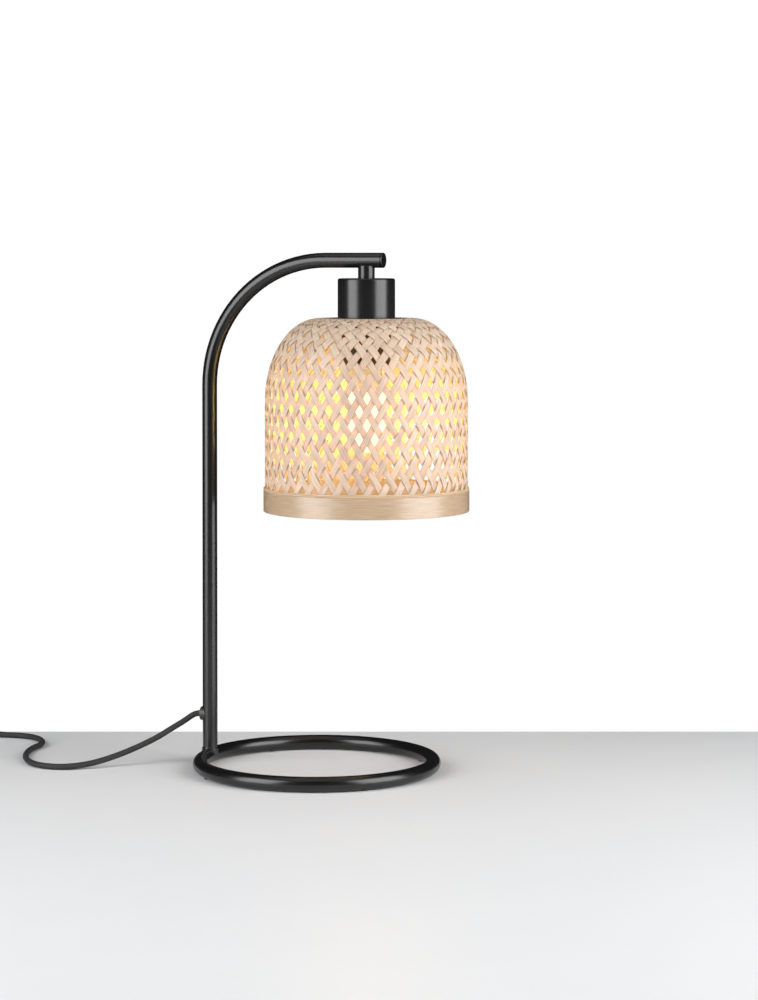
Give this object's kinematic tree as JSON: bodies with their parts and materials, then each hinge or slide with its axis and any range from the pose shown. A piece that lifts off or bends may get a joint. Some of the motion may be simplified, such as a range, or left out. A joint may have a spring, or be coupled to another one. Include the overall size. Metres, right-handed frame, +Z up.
{
  "type": "table lamp with shade",
  "caption": "Cane-shaped table lamp: bent tube post on a round ring base, woven bamboo dome shade under a cylindrical cup, screw-in bulb, cord with inline rocker switch and plug.",
  "frame": {"origin": "bottom centre of the lamp's box, cord left out: on the table, midway between the gland's face and the far side of the rim band", "axes": "+Z up, +X from the post to the shade"},
  "size_m": [0.701, 0.2394, 0.5],
  "materials": {
    "black_coat": "matt black powder coat",
    "pad_rubber": "soft clear-black rubber",
    "black_plastic": "black moulded thermoset",
    "zinc_steel": "bright zinc plate",
    "brass_contact": "drawn brass",
    "block_ceramic": "unglazed porcelain",
    "brown_wire": "brown insulation",
    "blue_wire": "blue insulation",
    "cord_jacket": "black flexible jacket",
    "bamboo_strip": "bare split bamboo",
    "bamboo_band": "planed bamboo, clear lacquer",
    "bamboo_splint": "round bamboo splint",
    "nickel_shell": "nickel plate",
    "bulb_black_glass": "black glass insulator",
    "bulb_white": "white moulded",
    "opal_diffuser": "opal diffuser, lit warm white",
    "led_board": "bare board",
    "led_chip": "phosphor",
    "switch_plastic": "black, fine satin",
    "rocker_plastic": "black, polished",
    "plug_plastic": "black moulded",
    "tie_plastic": "black plastic twist tie"
  },
  "bodies": {
    "stand": {"base_ring": "black_coat", "foot_pads": "pad_rubber", "post_tube": "black_coat", "post_weld": "black_coat", "arm_end_cap": "black_coat", "arm_stem": "black_coat", "cord_gland": "black_plastic", "inner_cord": "cord_jacket", "threaded_nipple": "zinc_steel", "cup_washer": "zinc_steel", "nipple_nut": "zinc_steel", "lampholder_cup": "black_coat", "holder_cap": "black_plastic", "holder_skirt": "black_plastic", "socket_sleeve": "black_plastic", "socket_shell": "brass_contact", "side_contact": "brass_contact", "centre_contact": "brass_contact", "terminal_block": "block_ceramic", "terminal_screws": "zinc_steel", "live_wire": "brown_wire", "neutral_wire": "blue_wire", "upper_shade_ring": "black_plastic", "lower_shade_ring": "black_plastic", "shade_fitter": "black_coat", "shade_weave": "bamboo_strip", "rim_band_outer": "bamboo_band", "rim_band_inner": "bamboo_band", "rim_splints": "bamboo_splint", "lamp_cord": "cord_jacket", "coil_lead": "cord_jacket", "cord_coil": "cord_jacket", "coil_tie": "tie_plastic", "plug_lead": "cord_jacket", "switch_case_lower": "switch_plastic", "switch_case_upper": "switch_plastic", "rocker_pin": "zinc_steel", "switch_contacts": "brass_contact", "switch_screws": "zinc_steel", "plug_relief": "plug_plastic", "plug_body": "plug_plastic", "plug_pins": "nickel_shell"},
    "bulb_carrier": {"bulb_tip_contact": "brass_contact"},
    "bulb": {"bulb_insulator": "bulb_black_glass", "bulb_screw_shell": "nickel_shell", "bulb_collar": "bulb_white", "bulb_diffuser": "opal_diffuser", "bulb_led_board": "led_board", "bulb_led_chips": "led_chip"},
    "rocker": {"switch_rocker": "rocker_plastic"}
  },
  "joints": [
    {"name": "bulb_travel", "type": "slide", "parent": "stand", "child": "bulb_carrier", "axis": [0, 0, -1], "range_m": [0, 0.01815]},
    {"name": "bulb_turn", "type": "hinge", "parent": "bulb_carrier", "child": "bulb", "pos_m": [0.03705, 0, 0.3804], "axis": [0, 0, -1], "range_deg": [0, 1800]},
    {"name": "rocker_tip", "type": "hinge", "parent": "stand", "child": "rocker", "pos_m": [-0.4592, 0.052, 0.0135], "axis": [0, 1, 0], "range_deg": [0, 18]}
  ],
  "couplings": [
    {"joint": "bulb_travel", "follows": "bulb_turn", "m_per_rad": 0.00057757}
  ]
}
